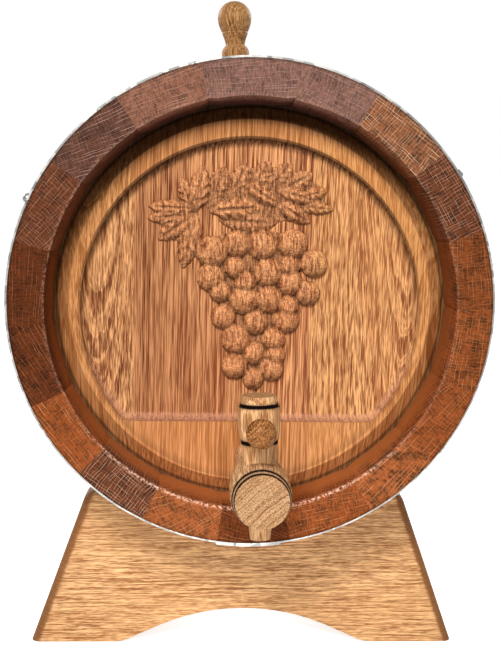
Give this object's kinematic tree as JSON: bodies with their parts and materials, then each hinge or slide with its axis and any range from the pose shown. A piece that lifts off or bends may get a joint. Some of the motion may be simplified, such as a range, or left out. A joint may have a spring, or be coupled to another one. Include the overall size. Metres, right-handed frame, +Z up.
{
  "type": "oak cask liquor dispenser",
  "caption": "Small coopered oak cask lying on a cradle stand, with a lift-out bung on top and a turned wooden tap whose key turns to pour.",
  "frame": {"origin": "on the floor, under the middle of the whole object's box", "axes": "+Z up; the front, with the tap, faces -Y; +X to the right as seen from the front; the cask's axis runs along Y"},
  "size_m": [0.2734, 0.403, 0.3835],
  "materials": {
    "stave_oak": "oiled, dark end grain",
    "head_oak": "oiled, carved",
    "hoop_steel": "galvanised",
    "fastener_steel": "worn",
    "turned_oak": "turned, oiled",
    "tap_wood": "turned, burnt rings",
    "stand_oak": "oiled"
  },
  "bodies": {
    "stand": {"front_cradle_board": "stand_oak", "back_cradle_board": "stand_oak", "left_rail": "stand_oak", "right_rail": "stand_oak", "stand_dowels": "stand_oak"},
    "cask": {"stave_01": "stave_oak", "stave_02": "stave_oak", "stave_03": "stave_oak", "stave_04": "stave_oak", "stave_05": "stave_oak", "stave_06": "stave_oak", "stave_07": "stave_oak", "stave_08": "stave_oak", "stave_09": "stave_oak", "stave_10": "stave_oak", "stave_11": "stave_oak", "stave_12": "stave_oak", "stave_13": "stave_oak", "stave_14": "stave_oak", "stave_15": "stave_oak", "stave_16": "stave_oak", "stave_17": "stave_oak", "stave_18": "stave_oak", "front_head_left_board": "head_oak", "front_head_middle_board": "head_oak", "front_head_right_board": "head_oak", "back_head_left_board": "head_oak", "back_head_middle_board": "head_oak", "back_head_right_board": "head_oak", "head_dowels": "head_oak", "front_chime_hoop": "hoop_steel", "front_bilge_hoop": "hoop_steel", "back_bilge_hoop": "hoop_steel", "back_chime_hoop": "hoop_steel", "hoop_rivets": "fastener_steel", "hoop_nails": "fastener_steel", "tap_body": "tap_wood"},
    "bung": {"bung": "turned_oak"},
    "tap_key": {"tap_key": "tap_wood", "tap_handle_peg": "tap_wood"}
  },
  "joints": [
    {"name": "cask_lift", "type": "slide", "parent": "stand", "child": "cask", "axis": [0, 0, 1], "range_m": [0, 0.08]},
    {"name": "bung_lift", "type": "slide", "parent": "cask", "child": "bung", "axis": [-0.0401, 0, 0.9992], "range_m": [0, 0.06]},
    {"name": "tap_key_turn", "type": "hinge", "parent": "cask", "child": "tap_key", "pos_m": [0.0031, -0.1735, 0.1152], "axis": [-0.0244, 0, 0.9997], "continuous": true}
  ]
}
